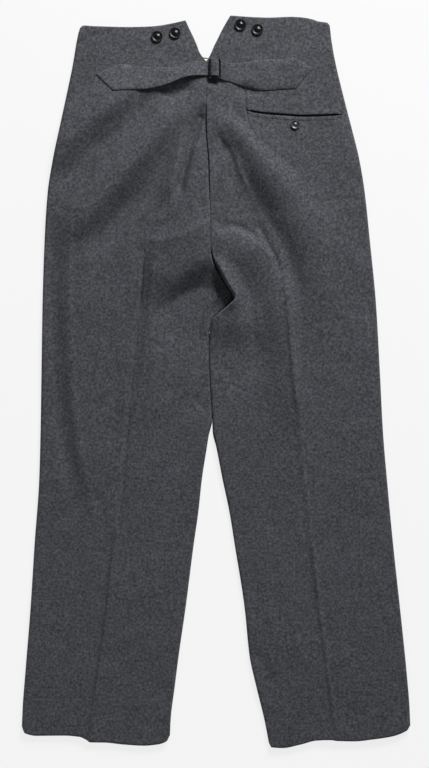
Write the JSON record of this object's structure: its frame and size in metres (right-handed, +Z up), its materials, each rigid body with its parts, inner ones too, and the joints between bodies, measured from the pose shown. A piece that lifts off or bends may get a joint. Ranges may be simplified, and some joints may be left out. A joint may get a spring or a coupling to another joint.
{
  "type": "high-backed wool combat trousers",
  "caption": "Heavy wool trousers laid flat with the back up: notched high back with brace buttons, cinch strap and buckle, jetted hip pocket, straight legs spread a little.",
  "frame": {"origin": "centre of the bounding box's footprint, on the surface that the trousers lie on", "axes": "+Z up, out of the trousers' back; +Y from the leg ends to the waist; +X to the wearer's right"},
  "size_m": [0.583, 1.0981, 0.0195],
  "materials": {
    "wool": "milled wool, dark grey-blue melange, matt with a short nap",
    "cotton_facing": "unbleached cotton twill",
    "button": "glossy black, pressed, with a raised rim",
    "buckle": "black enamelled steel, worn at the corners"
  },
  "bodies": {
    "root": {"back_left": "wool", "back_right": "wool", "front_left": "wool", "front_right": "wool", "fly_underlap": "wool", "waist_facing_left": "cotton_facing", "waist_facing_right": "cotton_facing", "strap_left": "wool", "strap_right": "wool", "buckle": "buckle", "brace_button_1": "button", "brace_button_2": "button", "brace_button_3": "button", "brace_button_4": "button", "pocket_button": "button", "pocket_upper_jet": "wool", "pocket_lower_jet": "wool"}
  },
  "joints": []
}
